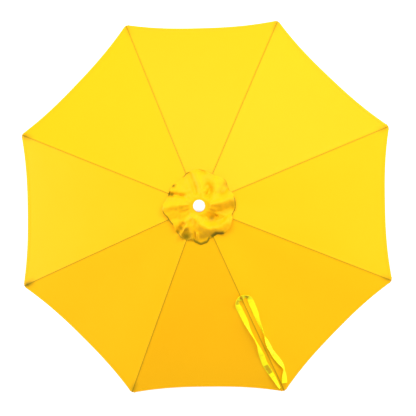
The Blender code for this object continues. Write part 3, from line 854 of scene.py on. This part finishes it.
# each tail of the strap: radius and offset from the rib's seam in metres, roll in degrees
STRAP_TAILS = {
    "tie_strap_left": (
        (0.485, -0.003, 30), (0.487, -0.013, 52), (0.494, -0.024, 58), (0.510, -0.031, 36),
        (0.530, -0.031, 4), (0.565, -0.030, 8), (0.600, -0.029, 28), (0.632, -0.029, 58),
        (0.660, -0.028, 72), (0.700, -0.024, 80), (0.735, -0.023, 70), (0.765, -0.026, 40),
        (0.792, -0.028, 12), (0.828, -0.031, 8), (0.867, -0.027, 4), (0.900, -0.022, 26),
        (0.930, -0.018, 48), (0.955, -0.016, 62), (0.975, -0.014, 76),
    ),
    "tie_strap_right": (
        (0.484, 0.003, 30), (0.483, 0.014, 54), (0.487, 0.026, 64), (0.500, 0.036, 40),
        (0.520, 0.035, 4), (0.577, 0.033, 14), (0.615, 0.030, 46), (0.655, 0.029, 66),
        (0.694, 0.027, 84), (0.728, 0.025, 120), (0.755, 0.024, 136), (0.786, 0.026, 134),
        (0.818, 0.031, 152), (0.850, 0.039, 146), (0.878, 0.045, 116), (0.898, 0.043, 104),
        (0.922, 0.033, 134), (0.942, 0.024, 156), (0.960, 0.018, 158),
    ),
}

# darker stretches of the tails, painted shade inside the loops at the tack: side of the seam, from and
# to which radius, and strength
STRAP_PATCHES = (
    (-1, 0.840, 0.888, 1.0), (-1, 0.488, 0.509, 0.9), (1, 0.482, 0.496, 0.9),
    (-1, 0.530, 0.537, 0.35), (1, 0.516, 0.522, 0.35), (1, 0.795, 0.812, 0.40),
    (-1, 0.782, 0.790, 0.30), (-1, 0.905, 0.912, 0.45),
)


def catmull(stations, t):
    """Smooth curve through the stations; t runs from 0 to their count less one."""
    i = min(int(t), len(stations) - 2)
    f = t - i
    picks = [stations[max(0, min(len(stations) - 1, i + d))] for d in (-1, 0, 1, 2)]
    values = []
    for a, b, c, d in zip(*picks):
        values.append(0.5 * (2 * b + (c - a) * f + (2 * a - 5 * b + 4 * c - d) * f * f
                             + (3 * b - a - 3 * c + d) * f ** 3))
    return values


def patch_share(outer, radius, reach):
    """Share of darkening at a point of a tail, reach metres from its middle line: painted shade inside
    the loops at the tack.
    """
    share = 0.0
    for side, low, high, strength in STRAP_PATCHES:
        if side == outer:
            inside = min(radius - low, high - radius, STRAP_PATCH_HALF - abs(reach))
            share = max(share, strength * smooth(inside / 0.003))
    return share


def build_tie_strap():
    """Two tails of flat webbing from one tack on the seam, which twist on their way to the tip."""
    across = 6
    turn = rib_angle(STRAP_RIB)
    for name, stations in STRAP_TAILS.items():
        steps = (len(stations) - 1) * 8
        centres = [catmull(stations, (len(stations) - 1) * i / steps) for i in range(steps + 1)]
        points = []
        attributes = blank_attributes("cloth", "patch")
        length = 0.0
        for i, (radius, side, roll) in enumerate(centres):
            before = centres[max(0, i - 1)]
            after = centres[min(steps, i + 1)]
            heading = Vector((after[0] - before[0], after[1] - before[1], 0)).normalized()
            crosswise = Vector((-heading.y, heading.x, 0))
            if i:
                length += math.dist(before[:2], (radius, side))
            outer = 1 if side > 0 else -1
            angle = math.radians(roll)
            for j in range(across + 1):
                reach = STRAP_WIDTH * (j / across - 0.5) * outer
                r = radius + crosswise.x * reach * math.cos(angle)
                x = side + crosswise.y * reach * math.cos(angle)
                rise = STRAP_STAND * (reach * outer + STRAP_WIDTH / 2) * math.sin(angle)
                rise += STRAP_CLEARANCE
                curl = STRAP_CURL * math.cos(math.pi * (j / across - 0.5)) * abs(math.cos(angle))
                points.append(above_cloth(STRAP_RIB, r, x, rise + curl))
                note(attributes, cloth=(length, reach, 0.0), patch=patch_share(outer, radius, reach))
        cloth, faces = facing(points, strip_faces(steps, across), attributes, True)
        tail = shell_from(name, cloth, faces, STRAP_THICK, WEBBING)
        fold_with_rib(tail, STRAP_RIB)
        if side < 0:
            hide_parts("tie_strap")


def build_strap_tack():
    """Round bar tack of heavy thread that holds both tails on the seam."""
    points = []
    attributes = blank_attributes("seam", "hem", "cloth", "shade")
    rings, steps = 4, 16
    for i in range(rings + 1):
        size = TACK_RADIUS * i / rings
        rise = TACK_RISE + TACK_DOME * (1 - (i / rings) ** 2)
        for j in range(steps):
            angle = 2 * math.pi * j / steps
            ripple = 0.0005 * math.cos(8 * angle) * (i / rings)
            radius = TACK_AT + size * math.cos(angle)
            side = size * math.sin(angle)
            points.append(above_cloth(STRAP_RIB, radius, side, rise + ripple))
            note(
                attributes, seam=SEAM_AWAY, hem=SEAM_AWAY, cloth=(radius, side, 0.0), shade=TACK_SHADE,
            )
    cloth, faces = facing(points, ring_faces(rings, steps), attributes, True)
    tack = shell_from("strap_tack", cloth, faces, TACK_THICK, CANOPY)
    fold_with_rib(tack, STRAP_RIB)


# ---------------------------------------------------------------- pockets and ties under the canopy

POCKET_SPAN = (0.966, 1.0185)
POCKET_HALF = 0.015
POCKET_DEPTH = 0.0125
TIE_PLACES = (0.300, 0.560, 0.780)
TIE_WIDTH = 0.010
TIE_HALF = 0.012
TIE_DEPTH = 0.0098
SLING_THICK = 0.0005

# gap between the canopy and what is sewn under it; shares of a sling's half width where it hangs
# straight and where it is stitched
UNDER_GAP = 0.0006
SLING_GAP = 0.0004
SLING_HANGS_TO = 0.62
SLING_HANG_BLEND = 0.40
SLING_STITCH_AT = 0.86


def under_rib(k, s, side, depth):
    """Point under the cloth beside rib k, depth metres below it."""
    radius, height = rib_point(s, CLOTH_LIFT - CLOTH_THICK - UNDER_GAP)
    drop = abs(side) * math.tan(HALF) * math.tan(slope(s))
    turn = rib_angle(k)
    x = radius * math.cos(turn) - side * math.sin(turn)
    y = radius * math.sin(turn) + side * math.cos(turn)
    return Vector((x, y, height - drop - depth))


def sling(k, name, low, high, half, depth, rows):
    """Strip of cloth that hangs round the rib from the cloth on both sides of the seam."""
    columns = 12
    points = []
    attributes = blank_attributes("seam", "hem", "cloth", "patch", "shade")
    for i in range(rows + 1):
        s = low + (high - low) * i / rows
        for j in range(columns + 1):
            share = 2 * j / columns - 1
            side = half * share
            hang = depth * smooth((SLING_HANGS_TO - abs(share)) / SLING_HANG_BLEND)
            points.append(under_rib(k, s, side, SLING_GAP + hang))
            from_stitch = abs(abs(share) - SLING_STITCH_AT) * half
            note(
                attributes, seam=SEAM_AWAY, hem=HEM_STITCH_AT + from_stitch, cloth=(s, side, 0.0),
                patch=0.0, shade=0.0,
            )
    cloth, faces = facing(points, strip_faces(rows, columns), attributes, False)
    piece = shell_from(name, cloth, faces, SLING_THICK, CANOPY)
    fold_with_rib(piece, k)


def build_slings():
    """A pocket for the tip of each rib, and ties round it at three places."""
    for k in range(1, RIBS + 1):
        sling(k, f"tip_pocket_{k}", *POCKET_SPAN, POCKET_HALF, POCKET_DEPTH, 8)
        for number, place in enumerate(TIE_PLACES, 1):
            sling(k, f"rib_tie_{k}_{number}", place, place + TIE_WIDTH, TIE_HALF, TIE_DEPTH, 2)


# ---------------------------------------------------------------- camera, floor and light

CAMERA_LENS = 122.0
CAMERA_DISTANCE = 7.0
CAMERA_TARGET = (0.0215, -0.0065, 1.95)
CAMERA_LEAN = math.radians(4.6)
CAMERA_PITCH = math.radians(1.0)
CAMERA_ROLL = math.radians(-1.0)

FLOOR_Z = -0.0005
FLOOR_GLOW = 0.22
WORLD_STRENGTH = 0.48
LIGHT_DISTANCE = 6.0
LIGHT_CENTRE = (0, 0, 1.9)

# azimuth and elevation in degrees, size in metres, power in watts
LIGHTS = {
    "key": (105, 50, 2.6, 175),
    "side": (45, 47, 2.2, 165),
    "overhead": (90, 86, 3.4, 34),
    "left_fill": (182, 9, 3.0, 235),
    "right_fill": (-2, 9, 3.0, 160),
    "front_fill": (-90, 10, 3.0, 22),
}


def build_camera():
    """Long lens almost straight above, as the photo was taken."""
    camera = bpy.data.cameras.new("camera")
    camera.sensor_width = 36.0
    camera.lens = CAMERA_LENS
    camera.clip_end = 100.0
    obj = bpy.data.objects.new("camera", camera)
    SCENE.collection.objects.link(obj)
    tilt = Matrix.Rotation(CAMERA_LEAN, 3, "Y") @ Matrix.Rotation(CAMERA_PITCH, 3, "X")
    turn = tilt @ Matrix.Rotation(CAMERA_ROLL, 3, "Z")
    place = Vector(CAMERA_TARGET) + turn @ Vector((0, 0, CAMERA_DISTANCE))
    obj.matrix_world = Matrix.Translation(place) @ turn.to_4x4()
    SCENE.camera = obj


def build_floor():
    """White studio floor, which glows a little so that it stays white under the canopy."""
    bm = bmesh.new()
    bmesh.ops.create_grid(bm, x_segments=8, y_segments=8, size=20.0)
    mesh = bpy.data.meshes.new("floor")
    bm.to_mesh(mesh)
    bm.free()
    floor = bpy.data.objects.new("floor", mesh)
    floor.location.z = FLOOR_Z
    SCENE.collection.objects.link(floor)
    n = Nodes("studio_floor", (0.93, 0.93, 0.93), 0.9)
    n.shader.inputs["Emission Color"].default_value = (1, 1, 1, 1)
    n.shader.inputs["Emission Strength"].default_value = FLOOR_GLOW
    shade = n.mix(n.ramp(n.noise(0.8, 2.0), 0.3, 0.7), (0.94, 0.94, 0.94), (0.92, 0.92, 0.92))
    mesh.materials.append(n.finish(shade))


def area_light(name, azimuth, elevation, size, power):
    """Soft round light at the same distance from the canopy on every side."""
    light = bpy.data.lights.new(name, "AREA")
    light.shape = "DISK"
    light.size = size
    light.energy = power
    obj = bpy.data.objects.new(name, light)
    turn, rise = math.radians(azimuth), math.radians(elevation)
    place = Vector((math.cos(turn) * math.cos(rise), math.sin(turn) * math.cos(rise), math.sin(rise)))
    obj.location = Vector(LIGHT_CENTRE) + place * LIGHT_DISTANCE
    obj.rotation_euler = place.to_track_quat("Z", "Y").to_euler()
    SCENE.collection.objects.link(obj)


def build_light():
    """White surroundings and soft lights, shown without any tone curve."""
    world = bpy.data.worlds.new("studio")
    world.use_nodes = True
    world.node_tree.nodes["Background"].inputs["Color"].default_value = (1, 1, 1, 1)
    world.node_tree.nodes["Background"].inputs["Strength"].default_value = WORLD_STRENGTH
    SCENE.world = world
    for name, (azimuth, elevation, size, power) in LIGHTS.items():
        area_light(name, azimuth, elevation, size, power)
    SCENE.view_settings.view_transform = "Standard"
    SCENE.view_settings.look = "None"
    SCENE.view_settings.exposure = 0.0
    SCENE.view_settings.gamma = 1.0


build_camera()
dress_cad_nodes()
build_canopy()
build_vent_cap()
build_tie_strap()
build_strap_tack()
build_slings()
build_floor()
build_light()
